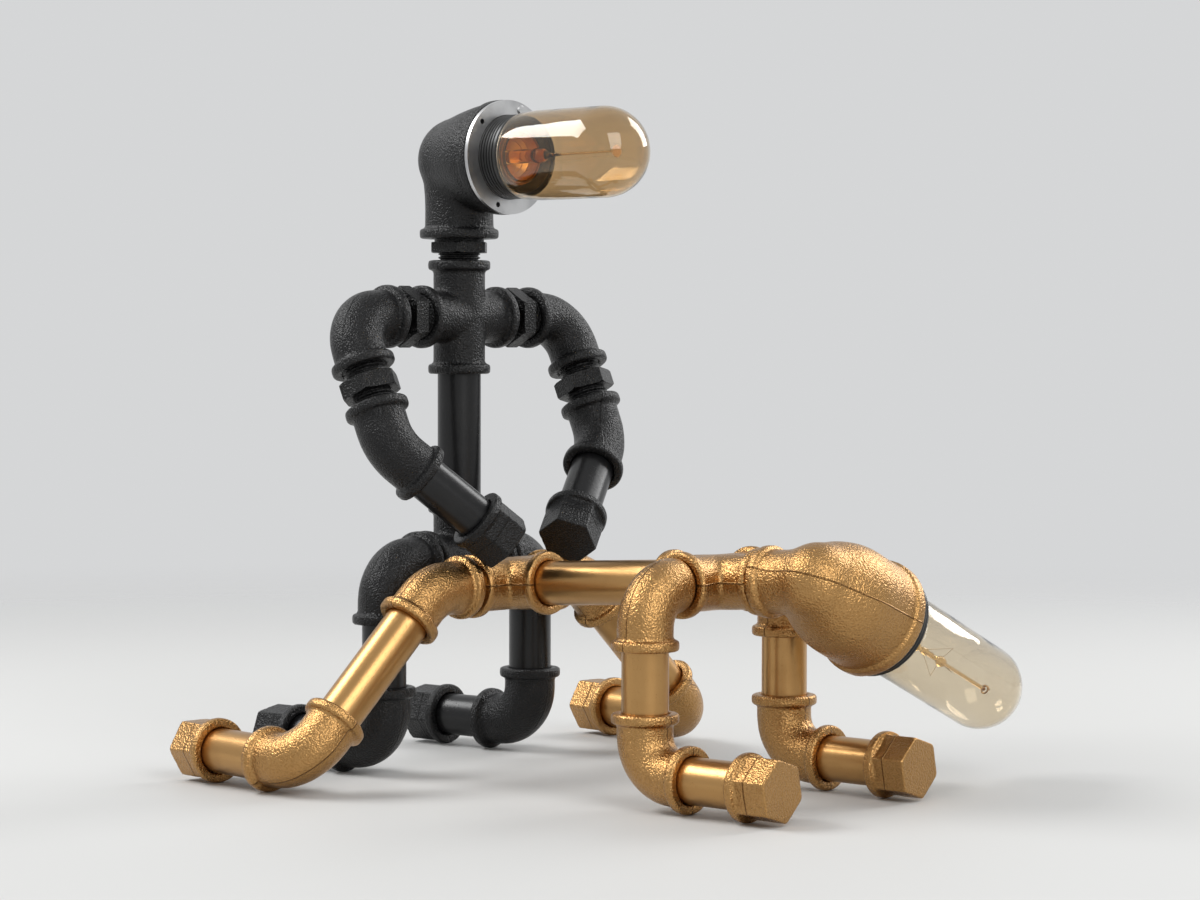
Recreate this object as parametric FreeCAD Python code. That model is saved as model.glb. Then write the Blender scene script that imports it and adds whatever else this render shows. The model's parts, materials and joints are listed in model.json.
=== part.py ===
import FreeCAD, Part
import math
import os
from FreeCAD import Vector

# A pair of free-standing table lamps made of half-inch malleable iron pipe fittings.
# The gold one is on hands and knees, the black one kneels upright behind it with its
# two hands on the gold one's hips. Millimetres, +X is where both lamps face, +Z is up.

# ---- half-inch pipe and its thread ----
pipeRadius = 10.65
pipeBore = 8.0
pipeEdge = 0.6
socketDepth = 13.0
threadClearance = 0.05
swivelClearance = 0.06
threadCrest = 10.35
threadRoot = 9.35
threadPitch = 1.8

# ---- half-inch fittings ----
bodyRadius = 12.8
beadRadius = 15.4
beadWidth = 5.0
waterwayRadius = 9.2
elbowReach = 28.0
elbowBend = 18.0
bendReach = 22.0
bendBend = 24.0
mouthEdge = 0.8

# ---- hex nipple ----
nippleFlats = 26.0
nippleHex = 8.0
nippleShown = 18.0
nippleBore = 7.6

# ---- end cap ----
capFlats = 25.6
capLength = 21.5
capBandWidth = 5.0
capWall = 7.5
capCorner = 1.1

# ---- gold lamp ----
goldHipGap = 2.9
goldSpineLength = 131.5
goldSpineRise = 3.3
goldThighSplay = 45.0
goldThighLength = 108.0
goldThighLean = {"near": 5.4, "far": -6.0}
goldShinLength = {"near": 85.2, "far": 78.4}
goldShoulderOffset = 50.25
goldForearmLength = 78.5
goldShoulderGap = 0.5
goldNeckGap = 1.0
goldHeadTurn = 24.7

# ---- black lamp ----
blackPlaceX = -34.5
blackPlaceY = 1.4
blackHipHeight = 101.4
blackHipGap = 0.4
blackHipTurn = 4.5
blackTorsoLength = 119.5
blackShoulderTurn = -1.5
blackShinLength = 74.5
blackArmSwing = {"near": 24.7, "far": 23.6}
blackArmTurn = {"near": 86.0, "far": 84.0}
blackHandRise = {"near": 20.685, "far": 20.41}
blackHeadTurn = -3.5

# ---- black neck: hex reducing nipple, half inch below and three-quarter above ----
neckFlats = 26.4
neckHex = 5.2
neckBelow = 3.6
neckAbove = 1.6
neckTopRadius = 13.0

# ---- head elbows ----
headBeadRadius = 27.8
headBodyRadius = 26.2
headBeadWidth = 6.0
headMouthRadius = 20.9
headMouthDepth = 22.0
cavityStep = 0.8
blackHeadDrop = 38.8
blackHeadReach = 34.0
blackHeadSmallBody = 16.9
blackHeadSmallBead = 19.5
blackHeadCavity = 16.0
blackHeadSwell = ((0, -20.2), (14.8, -14.2), (21.0, 0.0), (23.4, 8.5), (25.1, 16.0),
                  (25.9, 20.0), (26.2, 24.0))
goldHeadDrop = 28.0
goldHeadReach = 48.0
goldHeadSmallBody = 14.6
goldHeadSmallBead = 16.6
goldHeadCavity = 13.5
goldHeadSwell = ((0, -17.2), (13.2, -11.2), (18.9, 0.0), (22.9, 8.0), (25.3, 15.5),
                 (26.2, 20.5), (26.4, 26.0))
legFlare = 2.2

# ---- steel ring on the black head ----
ringThickness = 2.0
ringHoleCircle = 24.3
ringHoleRadius = 1.3
ringHoleAngles = (72.0, 137.5, 252.0, 317.5)
ringClearance = 0.2
screwRadius = 1.2
screwHeadRadius = 2.3
screwHeadHeight = 0.8
screwLength = 8.0
screwSlotWidth = 0.6
screwSlotDepth = 0.4

# ---- lampholders, E27 ----
holderRadius = 20.3
holderDepth = 17.0
holderBack = 4.0
holderCordHole = 4.0
holderRib = 0.55
holderRibPitch = 1.9
blackHolderShown = 11.5
goldHolderShown = 6.4
goldHolderLip = 26.4
goldHolderTaper = 1.6
holderThroat = 17.4
shellRadius = 14.0
shellWall = 0.5
shellDepth = 21.0
shellGap = 0.08
shellFit = 0.02

# ---- bulbs ----
capShellRadius = shellRadius - shellWall - shellGap
capShellLength = 19.0
capTipRadius = 4.5
capTipLength = 3.0
glassWall = 0.8
glassNeckRadius = 12.6
blackGlassRadius = 21.6
blackGlassLength = 75.0
goldGlassRadius = 20.6
goldGlassLength = 102.0
glassShoulder = 6.0
glassTuck = 0.6
stemRadius = 4.2
stemShare = 0.34
postRadius = 0.9
filamentRadius = 0.35
filamentShare = 0.78
filamentSpread = 6.0
filamentCount = 6
tipButton = 2.6

os.makedirs("parts", exist_ok=True)

xAxis = Vector(1, 0, 0)
yAxis = Vector(0, 1, 0)
zAxis = Vector(0, 0, 1)
sides = {"near": -1, "far": 1}
nodes = {}


def add(name, *solids):
    nodes[name] = list(solids)


def turnedAbout(vector, axis, degrees):
    return FreeCAD.Rotation(axis, degrees).multVec(vector)


def placed(shape, origin, direction, clock=None):
    # carries a shape made about the Z axis to an origin and a direction
    if clock is None:
        turn = FreeCAD.Rotation(zAxis, direction)
    else:
        turn = FreeCAD.Rotation(clock, direction.cross(clock), direction, "ZXY")
    shape.Placement = FreeCAD.Placement(origin, turn)
    return shape


def turned(outline, origin, direction):
    # a solid of revolution: (radius, height) is a line, (r, h, radius, height) an arc
    first = Vector(outline[0][0], 0, outline[0][1])
    here = first
    edges = []
    for step in outline[1:]:
        there = Vector(step[-2], 0, step[-1])
        if len(step) == 4:
            edges.append(Part.Arc(here, Vector(step[0], 0, step[1]), there).toShape())
        else:
            edges.append(Part.LineSegment(here, there).toShape())
        here = there
    edges.append(Part.LineSegment(here, first).toShape())
    solid = Part.Face(Part.Wire(edges)).revolve(Vector(), zAxis, 360)
    return placed(Part.makeSolid(solid) if solid.ShapeType == "Shell" else solid, origin, direction)


def rod(origin, direction, start, end, radius):
    return Part.makeCylinder(radius, end - start, origin + direction * start, direction)


def cornerPoint(centreRadius, centreHeight, size, degrees):
    angle = math.radians(degrees)
    return (centreRadius + size * math.cos(angle), centreHeight + size * math.sin(angle))


def socket(origin, direction, start, reach, body, bead, width):
    # the outside of one outlet: a plain barrel with a rounded bead at its mouth
    lip = bead - body
    hollow = 0.4 * lip
    round_ = 0.55 * lip
    neck = reach - width
    outline = [(0, start), (body, start), (body, neck - hollow)]
    outline.append(cornerPoint(body + hollow, neck - hollow, hollow, 135) + (body + hollow, neck))
    outline.append((bead - round_, neck))
    outline.append(cornerPoint(bead - round_, neck + round_, round_, -45) + (bead, neck + round_))
    outline.append((bead, reach - round_))
    outline.append(cornerPoint(bead - round_, reach - round_, round_, 45) + (bead - round_, reach))
    outline.append((0, reach))
    return turned(outline, origin, direction)


def socketBore(origin, direction, reach, radius, depth, clearance):
    # the threaded hole of one outlet with a small chamfer at its mouth
    hole = radius + clearance
    floor = reach - depth
    outline = [(0, floor), (hole, floor), (hole, reach - mouthEdge)]
    outline += [(hole + mouthEdge, reach), (hole + mouthEdge, reach + 1), (0, reach + 1)]
    return turned(outline, origin, direction)


def bend(centre, first, second, radius, bendRadius):
    # a round bar that turns from one outlet's axis to the other's
    half = first.getAngle(second) / 2
    tangent = bendRadius / math.tan(half)
    middle = (first + second).normalize()
    pivot = centre + middle * (bendRadius / math.sin(half))
    start = centre + first * tangent
    end = centre + second * tangent
    axis = (start - pivot).cross(end - pivot).normalize()
    circle = Part.Wire([Part.makeCircle(radius, start, first)])
    solid = Part.Face(circle).revolve(pivot, axis, 180 - math.degrees(2 * half))
    return solid, tangent


def elbow(centre, first, second, reach=elbowReach, bendRadius=elbowBend, swivel=0):
    # outlets at both ends; swivel counts how many of them turn on their nipples
    outer, tangent = bend(centre, first, second, bodyRadius, bendRadius)
    water, tangent = bend(centre, first, second, waterwayRadius, bendRadius)
    outer = outer.fuse([socket(centre, d, tangent, reach, bodyRadius, beadRadius, beadWidth)
                        for d in (first, second)])
    bores = [rod(centre, d, tangent, reach, waterwayRadius) for d in (first, second)]
    for number, d in enumerate((first, second)):
        clearance = swivelClearance if number < swivel else threadClearance
        bores.append(socketBore(centre, d, reach, pipeRadius, socketDepth, clearance))
    return outer.removeSplitter().cut(water.fuse(bores)).removeSplitter()


def streetElbow(centre, first, second, shoulder, maleEnd):
    # the first outlet is a male end that screws into a neighbour
    outer, tangent = bend(centre, first, second, bodyRadius, elbowBend)
    water, tangent = bend(centre, first, second, pipeBore, elbowBend)
    male = [(0, tangent), (bodyRadius, tangent), (bodyRadius, shoulder - 1.5), (pipeRadius, shoulder)]
    male += [(pipeRadius, maleEnd - pipeEdge), (pipeRadius - pipeEdge, maleEnd), (0, maleEnd)]
    outer = outer.fuse([turned(male, centre, first),
                        socket(centre, second, tangent, elbowReach, bodyRadius, beadRadius, beadWidth)])
    bores = [rod(centre, first, tangent, maleEnd + 1, pipeBore),
             rod(centre, second, tangent, elbowReach, pipeBore),
             socketBore(centre, second, elbowReach, pipeRadius, socketDepth, threadClearance)]
    return outer.removeSplitter().cut(water.fuse(bores)).removeSplitter()


def branch(centre, run, stem, outlets):
    # a tee has three outlets and a cross four: both ways along its run, then along its stem.
    # It is made about the plain axes and then turned to where its run and stem point.
    ways = (yAxis, yAxis * -1, xAxis, xAxis * -1)[:outlets]
    barrels = [socket(Vector(), way, 0, elbowReach, bodyRadius, beadRadius, beadWidth) for way in ways]
    bores = [rod(Vector(), way, 0, elbowReach, waterwayRadius) for way in ways]
    bores += [socketBore(Vector(), way, elbowReach, pipeRadius, socketDepth, threadClearance)
              for way in ways]
    outer = barrels[0].fuse(barrels[1:]).removeSplitter()
    solid = outer.cut(bores[0].fuse(bores[1:])).removeSplitter()
    solid.Placement = FreeCAD.Placement(centre, FreeCAD.Rotation(stem, run, stem.cross(run), "XYZ"))
    return solid


def pipe(start, end):
    # a length of pipe with its two ends chamfered
    along = end - start
    length = along.Length
    outline = [(pipeBore, 0), (pipeRadius - pipeEdge, 0), (pipeRadius, pipeEdge)]
    outline += [(pipeRadius, length - pipeEdge), (pipeRadius - pipeEdge, length), (pipeBore, length)]
    return turned(outline, start, along.normalize())


def joiningPipe(centreA, reachA, centreB, reachB):
    # the pipe between two outlets that look at each other, screwed fully into both
    along = (centreB - centreA).normalize()
    start = centreA + along * (reachA - socketDepth + threadClearance)
    end = centreB - along * (reachB - socketDepth + threadClearance)
    return pipe(start, end)


def hexBar(origin, direction, start, end, flats, clock):
    corner = flats / math.sqrt(3)
    ring = [Vector(corner * math.cos(math.radians(60 * k)), corner * math.sin(math.radians(60 * k)), start)
            for k in range(7)]
    bar = Part.Face(Part.makePolygon(ring)).extrude(Vector(0, 0, end - start))
    return placed(bar, origin, direction, clock)


def easedHex(origin, direction, start, end, flats, clock, edge, bothEnds):
    # a hex whose corners are turned down to a cone, as on a nut
    corner = flats / math.sqrt(3) + 0.01
    low = [(corner - edge, start), (corner, start + edge * 0.6)] if bothEnds else [(corner, start)]
    outline = [(0, start)] + low + [(corner, end - edge * 0.6), (corner - edge, end), (0, end)]
    return hexBar(origin, direction, start, end, flats, clock).common(turned(outline, origin, direction))


def grooves(start, end, crest, root, pitch):
    # the outline of turned rings that stand for an open stretch of thread
    count = max(1, int((end - start) / pitch))
    step = (end - start) / count
    points = []
    for k in range(count):
        base = start + k * step
        points += [(root, base + 0.05 * step), (root, base + 0.25 * step)]
        points += [(crest, base + 0.55 * step), (crest, base + 0.75 * step)]
    return points


def hexNipple(origin, direction, clock):
    # origin is the middle of its hex
    half = nippleHex / 2
    shown = nippleShown / 2
    end = shown + socketDepth - threadClearance
    top = [(threadRoot, half)] + grooves(half, shown, threadCrest, threadRoot, threadPitch)
    top += [(threadRoot, shown), (pipeRadius, shown + threadPitch / 2), (pipeRadius, end - pipeEdge)]
    top += [(pipeRadius - pipeEdge, end)]
    bottom = [(r, -h) for r, h in reversed(top)]
    outline = [(0, -end)] + bottom + top + [(0, end)]
    body = turned(outline, origin, direction)
    body = body.fuse(easedHex(origin, direction, -half, half, nippleFlats, clock, capCorner, True))
    return body.cut(rod(origin, direction, -end - 1, end + 1, nippleBore))


def endCap(face, direction, clock):
    # face is the middle of the closed end, direction points out of it
    mouth = face - direction * capLength
    band = socket(mouth + direction * capBandWidth, direction * -1, 0, capBandWidth,
                  beadRadius - 2, beadRadius, capBandWidth - 0.5)
    body = easedHex(mouth, direction, 1.0, capLength, capFlats, clock, capCorner, False)
    bore = turned([(0, -1), (pipeRadius + threadClearance + mouthEdge, -1),
                   (pipeRadius + threadClearance + mouthEdge, 0),
                   (pipeRadius + threadClearance, mouthEdge),
                   (pipeRadius + threadClearance, capLength - capWall),
                   (0, capLength - capWall)], mouth, direction)
    return body.fuse(band).cut(bore).removeSplitter()


def capPipe(centre, reach, face, direction):
    # the short pipe between an outlet and an end cap
    start = centre + direction * (reach - socketDepth + threadClearance)
    end = face - direction * (capWall + threadClearance)
    return pipe(start, end)


# ---- gold lamp: joints ----
goldKneeHeight = beadRadius
splay = math.radians(goldThighSplay)
hipOffset = elbowReach + goldHipGap + bendReach
thighDirections = {}
for side, sign in sides.items():
    lean = math.radians(goldThighLean[side])
    back = Vector(-math.sin(lean), 0, -math.cos(lean))
    thighDirections[side] = (yAxis * (sign * math.cos(splay)) + back * math.sin(splay)).normalize()
goldHipHeight = goldKneeHeight + goldThighLength * abs(thighDirections["near"].z)
goldHip = Vector(0, 0, goldHipHeight)
spine = turnedAbout(xAxis, yAxis, -goldSpineRise)
goldShoulder = goldHip + spine * goldSpineLength

add("gold_hip_tee", branch(goldHip, yAxis, spine, 3))
add("gold_shoulder_cross", branch(goldShoulder, yAxis, spine, 4))
add("gold_spine_pipe", joiningPipe(goldHip, elbowReach, goldShoulder, elbowReach))

hipNipples = []
goldShinNipples = []
goldForearmNipples = []
goldFootCaps = []
goldHandCaps = []
for side, sign in sides.items():
    out = yAxis * sign
    thigh = thighDirections[side]
    hip = goldHip + out * hipOffset
    knee = hip + thigh * ((hip.z - goldKneeHeight) / abs(thigh.z))
    shin = thigh.cross(zAxis) * (sign if sign * thigh.cross(zAxis).x < 0 else -sign)
    shin.normalize()
    hipNipples.append(joiningPipe(goldHip, elbowReach, hip, bendReach))
    add("gold_%s_hip_elbow" % side, elbow(hip, out * -1, thigh, bendReach, bendBend))
    add("gold_%s_thigh_pipe" % side, joiningPipe(hip, bendReach, knee, elbowReach))
    add("gold_%s_knee_elbow" % side, elbow(knee, thigh * -1, shin))
    foot = knee + shin * goldShinLength[side]
    goldShinNipples.append(capPipe(knee, elbowReach, foot, shin))
    goldFootCaps.append(endCap(foot, shin, turnedAbout(zAxis, shin, 30)))

    shoulder = goldShoulder + out * goldShoulderOffset
    wrist = Vector(shoulder.x, shoulder.y, beadRadius)
    male = goldShoulderOffset - elbowReach
    add("gold_%s_shoulder_elbow" % side,
        streetElbow(shoulder, out * -1, zAxis * -1, male - goldShoulderGap, male + socketDepth - 0.5))
    add("gold_%s_arm_pipe" % side, joiningPipe(shoulder, elbowReach, wrist, elbowReach))
    add("gold_%s_wrist_elbow" % side, elbow(wrist, zAxis, xAxis))
    hand = wrist + xAxis * goldForearmLength
    goldForearmNipples.append(capPipe(wrist, elbowReach, hand, xAxis))
    goldHandCaps.append(endCap(hand, xAxis, turnedAbout(zAxis, xAxis, 12)))
add("gold_hip_nipples", *hipNipples)
add("gold_shin_nipples", *goldShinNipples)
add("gold_forearm_nipples", *goldForearmNipples)
add("gold_foot_caps", *goldFootCaps)
add("gold_hand_caps", *goldHandCaps)

# ---- black lamp: joints ----
blackHip = Vector(blackPlaceX, blackPlaceY, blackHipHeight)
blackShoulder = blackHip + zAxis * blackTorsoLength
hipForward = turnedAbout(xAxis, zAxis, blackHipTurn)
hipOut = turnedAbout(yAxis, zAxis, blackHipTurn)
shoulderForward = turnedAbout(xAxis, zAxis, blackShoulderTurn)
shoulderOut = turnedAbout(yAxis, zAxis, blackShoulderTurn)

add("black_hip_tee", branch(blackHip, hipOut, zAxis, 3))
add("black_shoulder_cross", branch(blackShoulder, shoulderOut, zAxis, 4))
add("black_torso_pipe", joiningPipe(blackHip, elbowReach, blackShoulder, elbowReach))

hipNipples = []
thighPipes = []
shinNipples = []
footCaps = []
shoulderNipples = []
for side, sign in sides.items():
    out = hipOut * sign
    hip = blackHip + out * (2 * elbowReach + blackHipGap)
    knee = Vector(hip.x, hip.y, beadRadius)
    shin = hipForward * -1
    foot = knee + shin * blackShinLength
    hipNipples.append(joiningPipe(blackHip, elbowReach, hip, elbowReach))
    add("black_%s_hip_elbow" % side, elbow(hip, out * -1, zAxis * -1))
    thighPipes.append(joiningPipe(hip, elbowReach, knee, elbowReach))
    add("black_%s_knee_elbow" % side, elbow(knee, zAxis, shin))
    shinNipples.append(capPipe(knee, elbowReach, foot, shin))
    footCaps.append(endCap(foot, shin, turnedAbout(zAxis, shin, 20)))

    out = shoulderOut * sign
    corner = blackShoulder + out * (2 * elbowReach + nippleShown)
    down = turnedAbout(zAxis * -1, shoulderOut, -blackArmSwing[side])
    ahead = turnedAbout(shoulderForward, shoulderOut, -blackArmSwing[side])
    inward = (ahead * math.cos(math.radians(blackArmTurn[side]))
              - out * math.sin(math.radians(blackArmTurn[side])))
    turn = corner + down * (elbowReach + nippleShown + bendReach)
    forearm = (down + inward).normalize()
    # the forearm is as long as it takes to lay the hand on the gold hip
    handHeight = goldHip.z + blackHandRise[side]
    hand = turn + forearm * ((handHeight - turn.z) / forearm.z)
    shoulderNipples.append(hexNipple(blackShoulder + out * (elbowReach + nippleShown / 2), out, zAxis))
    add("black_%s_shoulder_elbow" % side, elbow(corner, out * -1, down, swivel=1))
    middle = corner + down * (elbowReach + nippleShown / 2)
    add("black_%s_arm_nipple" % side, hexNipple(middle, down, turnedAbout(ahead, down, 8 * sign)))
    add("black_%s_arm_bend" % side, elbow(turn, down * -1, forearm, bendReach, bendBend, swivel=1))
    add("black_%s_forearm_pipe" % side, capPipe(turn, bendReach, hand, forearm))
    clock = forearm.cross(out).normalize()
    add("black_%s_hand_cap" % side, endCap(hand, forearm, clock))
add("black_hip_nipples", *hipNipples)
add("black_thigh_pipes", *thighPipes)
add("black_shin_nipples", *shinNipples)
add("black_foot_caps", *footCaps)
add("black_shoulder_nipples", *shoulderNipples)


# ---- heads ----
def bellBody(centre, inlet, outlet, drop, reach, smallBody, swell):
    # the body of a reducing elbow: a bell round the outlet's axis and a leg to the inlet
    outline = [swell[0]]
    for middle, end in zip(swell[1::2], swell[2::2]):
        outline.append(middle + end)
    outline += [(swell[-1][0], reach), (0, reach)]
    bell = turned(outline, centre, outlet)
    leg = turned([(0, 0), (smallBody + legFlare, 0),
                  (smallBody + 0.3 * legFlare, 0.3 * drop, smallBody, 0.6 * drop),
                  (smallBody, drop), (0, drop)], centre, inlet)
    return bell.fuse(leg)


def headElbow(centre, inlet, outlet, drop, reach, smallBody, smallBead, smallBore, swell, cavity):
    outer = bellBody(centre, inlet, outlet, drop, reach, smallBody, swell)
    lipStart = reach - headBeadWidth - 2
    small = socket(centre, inlet, drop - 8, drop, smallBody, smallBead, beadWidth)
    large = socket(centre, outlet, lipStart, reach, headBodyRadius, headBeadRadius, headBeadWidth)
    mouth = reach - headMouthDepth
    inner = Part.makeSphere(cavity, centre)
    inner = inner.fuse([rod(centre, outlet, 0, mouth + 1, cavity - cavityStep),
                        rod(centre, inlet, 0, drop - socketDepth + 1, smallBore - cavityStep),
                        socketBore(centre, inlet, drop, smallBore, socketDepth, swivelClearance),
                        rod(centre, outlet, mouth, reach + 1, headMouthRadius)])
    return outer.fuse([large, small]).removeSplitter().cut(inner).removeSplitter()


def holder(centre, outlet, reach, shown, lip):
    # the lampholder: an insulating body in the elbow's mouth and a ribbed collar in front
    back = reach - holderDepth
    front = reach + shown
    seat = back + holderBack
    body = turned([(holderCordHole, back), (holderRadius - 1, back), (holderRadius, back + 1),
                   (holderRadius, reach - 0.5), (shellRadius, reach - 0.5), (shellRadius, seat),
                   (holderCordHole, seat)], centre, outlet)
    outline = [(holderThroat, front), (holderThroat, reach - 0.5 + threadClearance)]
    if lip > holderRadius:
        count = 3
        step = shown / count
        outline += [(holderRadius, reach - 0.5 + threadClearance), (holderRadius, reach + 0.1),
                    (lip, reach + 0.1)]
        for k in range(count):
            edge = lip - goldHolderTaper * k / count
            outline += [(edge, reach + (k + 0.72) * step), (edge - 1.1, reach + (k + 0.86) * step)]
            outline += [(edge - goldHolderTaper / count, reach + (k + 1) * step)]
    else:
        outline += [(holderRadius, reach - 0.5 + threadClearance)]
        ribStart = reach + ringThickness
        count = int((front - ribStart - 2) / holderRibPitch)
        for k in range(count):
            low = ribStart + k * holderRibPitch
            outline += [(lip, low), (lip, low + 0.55 * holderRibPitch)]
            outline += [(lip - holderRib, low + 0.65 * holderRibPitch)]
            outline += [(lip - holderRib, low + 0.9 * holderRibPitch)]
        outline += [(lip, front - 2), (lip, front - 0.5), (lip - 0.5, front)]
    collar = turned(outline, centre, outlet)
    inside = shellRadius - shellWall
    outside = shellRadius - shellFit
    shell = turned([(inside, seat + shellWall), (inside, seat + shellDepth), (outside, seat + shellDepth),
                    (outside, seat + shellFit), (holderCordHole + 1, seat + shellFit),
                    (holderCordHole + 1, seat + shellWall)], centre, outlet)
    return body, collar, shell, seat


def bulb(centre, outlet, seat, collarFront, radius, length):
    # glass, screw cap and the stem with its filament, all turned about the lamp's axis
    capStart = seat + 1.2
    capEnd = capStart + capTipLength + capShellLength
    tip = collarFront + length
    dome = tip - radius
    full = collarFront + glassShoulder
    base = turned([(0, capStart), (capTipRadius, capStart), (capTipRadius, capStart + 1),
                   (capShellRadius - 4, capStart + capTipLength),
                   (capShellRadius - 0.8, capStart + capTipLength),
                   (capShellRadius, capStart + capTipLength + 0.8), (capShellRadius, capEnd),
                   (glassNeckRadius + 0.02, capEnd), (glassNeckRadius + 0.02, capStart + capTipLength + 2),
                   (0, capStart + capTipLength + 2)], centre, outlet)

    def wall(inset):
        start = capStart + capTipLength + 2.05 + inset
        neck = glassNeckRadius - inset
        wide = radius - inset
        blend = capEnd + 1.5
        half = math.sqrt(0.5)
        flare = (full - blend) * 0.45
        return [(0, start), (neck, start), (neck, blend - 1),
                (neck + 0.35 * (wide - neck), blend + 0.35 * flare),
                (wide - glassTuck, blend + flare), (wide, full + 6), (wide, dome),
                (wide * half, dome + wide * half, 0, dome + wide)]

    glass = turned(wall(0), centre, outlet).cut(turned(wall(glassWall), centre, outlet))
    stemStart = capStart + capTipLength + 2.1 + glassWall
    stemEnd = capEnd + (dome - capEnd) * stemShare
    stem = turned([(0, stemStart), (glassNeckRadius - glassWall - 0.1, stemStart),
                   (glassNeckRadius - glassWall - 0.1, stemStart + 1.5), (stemRadius + 1.5, capEnd - 2),
                   (stemRadius, capEnd + 4), (stemRadius - 1.4, stemEnd), (postRadius, stemEnd + 1.5),
                   (postRadius, dome - 6), (tipButton, dome - 5), (tipButton, dome - 3.5),
                   (0, dome - 3)], centre, outlet)
    side = outlet.cross(zAxis).normalize()
    wires = []
    low = stemEnd - 2
    high = stemEnd + (dome - stemEnd) * filamentShare
    for k in range(filamentCount):
        around = turnedAbout(side, outlet, 360.0 * k / filamentCount)
        foot = centre + outlet * low + around * (stemRadius - 2)
        head = centre + outlet * high + around * filamentSpread
        wires.append(Part.makeCylinder(filamentRadius, (head - foot).Length, foot, head - foot))
        hub = centre + outlet * (high - 3)
        wires.append(Part.makeCylinder(filamentRadius, (head - hub).Length, hub, head - hub))
        wires.append(Part.makeSphere(filamentRadius * 1.3, head))
    mount = stem.fuse(wires)
    return glass, base, mount


neckTop = neckBelow + neckHex + neckAbove
blackHead = blackShoulder + zAxis * (elbowReach + neckTop + blackHeadDrop)
blackLook = turnedAbout(xAxis, zAxis, blackHeadTurn)
add("black_head_elbow", headElbow(blackHead, zAxis * -1, blackLook, blackHeadDrop, blackHeadReach,
                                  blackHeadSmallBody, blackHeadSmallBead, neckTopRadius, blackHeadSwell,
                                  blackHeadCavity))

neckLow = blackShoulder + zAxis * elbowReach
neckEnd = threadClearance - socketDepth
neckOutline = [(0, neckEnd), (pipeRadius - pipeEdge, neckEnd)]
neckOutline += [(pipeRadius, neckEnd + pipeEdge), (pipeRadius, -threadPitch / 2)]
neckOutline += grooves(0, neckBelow, threadCrest, threadRoot, threadPitch)
neckOutline += [(threadRoot, neckBelow), (neckTopRadius - 0.8, neckBelow + neckHex),
                (neckTopRadius - 0.8, neckTop), (neckTopRadius, neckTop + 0.6),
                (neckTopRadius, neckTop + socketDepth - 1), (neckTopRadius - 0.8, neckTop + socketDepth - 0.2),
                (0, neckTop + socketDepth - 0.2)]
neckNipple = turned(neckOutline, neckLow, zAxis)
neckNipple = neckNipple.fuse(easedHex(neckLow, zAxis, neckBelow, neckBelow + neckHex, neckFlats,
                                      turnedAbout(xAxis, zAxis, 10), capCorner, True))
neckNipple = neckNipple.cut(rod(neckLow, zAxis, -socketDepth - 1, neckTop + socketDepth + 1, nippleBore))
add("black_neck_nipple", neckNipple)

ringSide = zAxis.cross(blackLook).normalize()
ringPlane = blackHead + blackLook * blackHeadReach
ring = rod(ringPlane, blackLook, 0.0, ringThickness, headBeadRadius - 0.2)
ring = ring.cut(rod(ringPlane, blackLook, -1, ringThickness + 1, holderRadius + ringClearance))
spots = []
for angle in ringHoleAngles:
    lift = math.radians(angle)
    spots.append(ringPlane + (ringSide * math.cos(lift) + zAxis * math.sin(lift)) * ringHoleCircle)
for spot in spots:
    ring = ring.cut(rod(spot, blackLook, -1, ringThickness + 1, ringHoleRadius))
add("black_head_ring", ring)
for spot in spots:
    nodes["black_head_elbow"][0] = nodes["black_head_elbow"][0].cut(
        rod(spot, blackLook, -screwLength, 1, ringHoleRadius))
screwSpot = spots[0] + blackLook * ringThickness
screw = rod(screwSpot, blackLook, -screwLength, 0, screwRadius)
screw = screw.fuse(turned([(0, 0), (screwHeadRadius, 0), (screwHeadRadius, 0.3),
                           (screwHeadRadius - 0.5, screwHeadHeight), (0, screwHeadHeight)],
                          screwSpot, blackLook))
slot = Part.makeBox(screwSlotWidth, 4 * screwHeadRadius, 1)
slot.translate(Vector(-screwSlotWidth / 2, -2 * screwHeadRadius, screwHeadHeight - screwSlotDepth))
screw = screw.cut(placed(Part.makeCompound([slot]), screwSpot, blackLook))
add("black_ring_screw", screw.Solids[0])

goldNeck = elbowReach + goldNeckGap
goldHead = goldShoulder + spine * (goldNeck + goldHeadDrop)
goldLook = turnedAbout(yAxis, spine, -goldHeadTurn)
add("gold_head_elbow", headElbow(goldHead, spine * -1, goldLook, goldHeadDrop, goldHeadReach,
                                 goldHeadSmallBody, goldHeadSmallBead, pipeRadius, goldHeadSwell,
                                 goldHeadCavity))
add("gold_neck_nipple", joiningPipe(goldShoulder, elbowReach, goldHead, goldHeadDrop))

for lamp, head, look, reach, shown, lip, radius, length in (
        ("black", blackHead, blackLook, blackHeadReach, blackHolderShown + ringThickness, holderRadius,
         blackGlassRadius, blackGlassLength),
        ("gold", goldHead, goldLook, goldHeadReach, goldHolderShown, goldHolderLip,
         goldGlassRadius, goldGlassLength)):
    body, collar, shell, seat = holder(head, look, reach, shown, lip)
    glass, base, mount = bulb(head, look, seat, reach + shown, radius, length)
    add(lamp + "_lampholder_body", body)
    add(lamp + "_lampholder_collar", collar)
    add(lamp + "_lampholder_shell", shell)
    add(lamp + "_bulb_glass", glass)
    add(lamp + "_bulb_base", base)
    add(lamp + "_bulb_mount", mount)

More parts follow.
